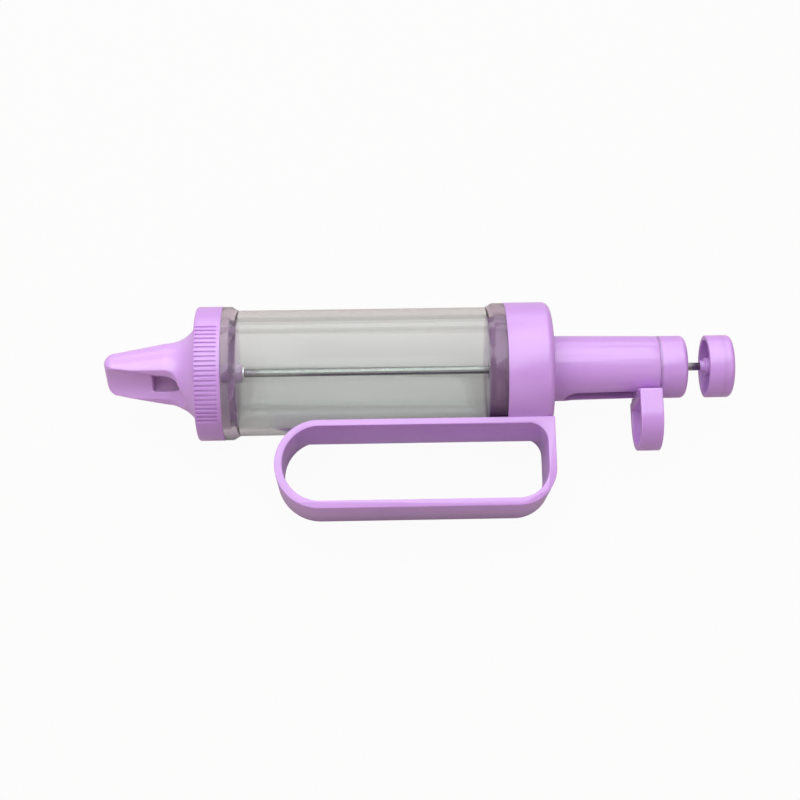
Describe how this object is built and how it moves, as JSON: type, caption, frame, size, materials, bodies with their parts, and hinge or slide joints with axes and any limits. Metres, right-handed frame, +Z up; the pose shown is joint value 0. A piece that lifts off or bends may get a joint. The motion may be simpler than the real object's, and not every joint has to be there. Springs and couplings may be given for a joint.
{
  "type": "icing decorator press",
  "caption": "Hand press for icing: clear barrel with a screwed-on spreader nozzle, piston rod stepped by a ring trigger, and a hand loop.",
  "frame": {"origin": "centre of the bounding box's footprint, on the worktop on which the press lies", "axes": "+X along the barrel from the nozzle to the knob, -Y towards the hand loop, +Z up from the worktop"},
  "size_m": [0.2354, 0.0812, 0.0502],
  "materials": {
    "lavender_plastic": "satin moulded plastic",
    "clear_plastic": "clear moulded plastic",
    "silicone": "milky food-grade silicone",
    "dark_rubber": "dark soft rubber",
    "polished_steel": "drawn stainless rod",
    "bright_steel": "zinc-bright steel",
    "spring_steel": "drawn spring wire"
  },
  "bodies": {
    "press_body": {"rear_body": "lavender_plastic", "rear_plug": "lavender_plastic", "rod_seal": "dark_rubber", "barrel": "clear_plastic", "barrel_gasket": "silicone", "nozzle_gasket": "silicone", "end_cap": "lavender_plastic", "spring_washer": "bright_steel", "return_spring": "spring_steel"},
    "spout": {"nozzle": "lavender_plastic"},
    "ring": {"coupler_ring": "lavender_plastic"},
    "piston_slide": {"piston": "lavender_plastic", "piston_seal": "silicone"},
    "rod_and_knob": {"plunger_rod": "polished_steel", "piston_nut": "bright_steel", "retaining_ring": "bright_steel", "rod_knob": "lavender_plastic"},
    "trigger_slug": {"trigger": "lavender_plastic"},
    "grip_plate": {"drive_plate": "bright_steel"}
  },
  "joints": [
    {"name": "plunger_travel", "type": "slide", "parent": "press_body", "child": "piston_slide", "axis": [1, 0, 0], "range_m": [0, 0.0905]},
    {"name": "knob_turn", "type": "hinge", "parent": "piston_slide", "child": "rod_and_knob", "pos_m": [-0.07165, 0.01549, 0.0251], "axis": [1, 0, 0], "continuous": true},
    {"name": "ring_turn", "type": "hinge", "parent": "spout", "child": "ring", "pos_m": [-0.07965, 0.01549, 0.0251], "axis": [-1, 0, 0], "range_deg": [0, 545]},
    {"name": "spout_travel", "type": "slide", "parent": "press_body", "child": "spout", "axis": [-1, 0, 0], "range_m": [0, 0.0045]},
    {"name": "trigger_pull", "type": "slide", "parent": "press_body", "child": "trigger_slug", "axis": [-1, 0, 0], "range_m": [0, 0.022], "stiffness_N_per_m": 220, "springref_m": -0.008, "deforming": ["return_spring"]},
    {"name": "plate_tilt", "type": "hinge", "parent": "trigger_slug", "child": "grip_plate", "pos_m": [0.08125, 0.02446, 0.02715], "axis": [0, 0.2227, -0.9749], "range_deg": [0, 3.2], "stiffness_Nm_per_rad": 0.05, "springref_deg": -2.86}
  ],
  "couplings": [
    {"joint": "ring_turn", "follows": "spout_travel", "rad_per_m": 2094.4}
  ]
}
